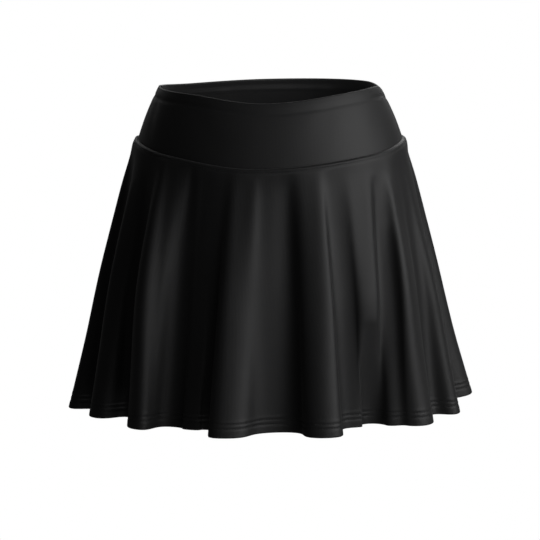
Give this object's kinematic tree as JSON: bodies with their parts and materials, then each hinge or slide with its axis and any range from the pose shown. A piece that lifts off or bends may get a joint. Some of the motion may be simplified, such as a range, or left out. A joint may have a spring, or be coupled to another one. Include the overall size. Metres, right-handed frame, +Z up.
{
  "type": "tennis skort",
  "caption": "Flared knit tennis skort, filled out as if worn, with a deep contoured waistband, a fluted circle-cut skirt and short inner shorts.",
  "frame": {"origin": "middle of the waist opening, level with the rim at the sides", "axes": "+Z up, -Y the way the wearer faces, +X the wearer's left"},
  "size_m": [0.4486, 0.3237, 0.3591],
  "materials": {
    "outer_knit": "smooth interlock knit with a soft sheen, black",
    "shorts_knit": "plain stretch jersey, black"
  },
  "bodies": {
    "root": {"waistband_front": "outer_knit", "waistband_back": "outer_knit", "skirt_front": "outer_knit", "skirt_back": "outer_knit", "shorts_left": "shorts_knit", "shorts_right": "shorts_knit"}
  },
  "joints": []
}
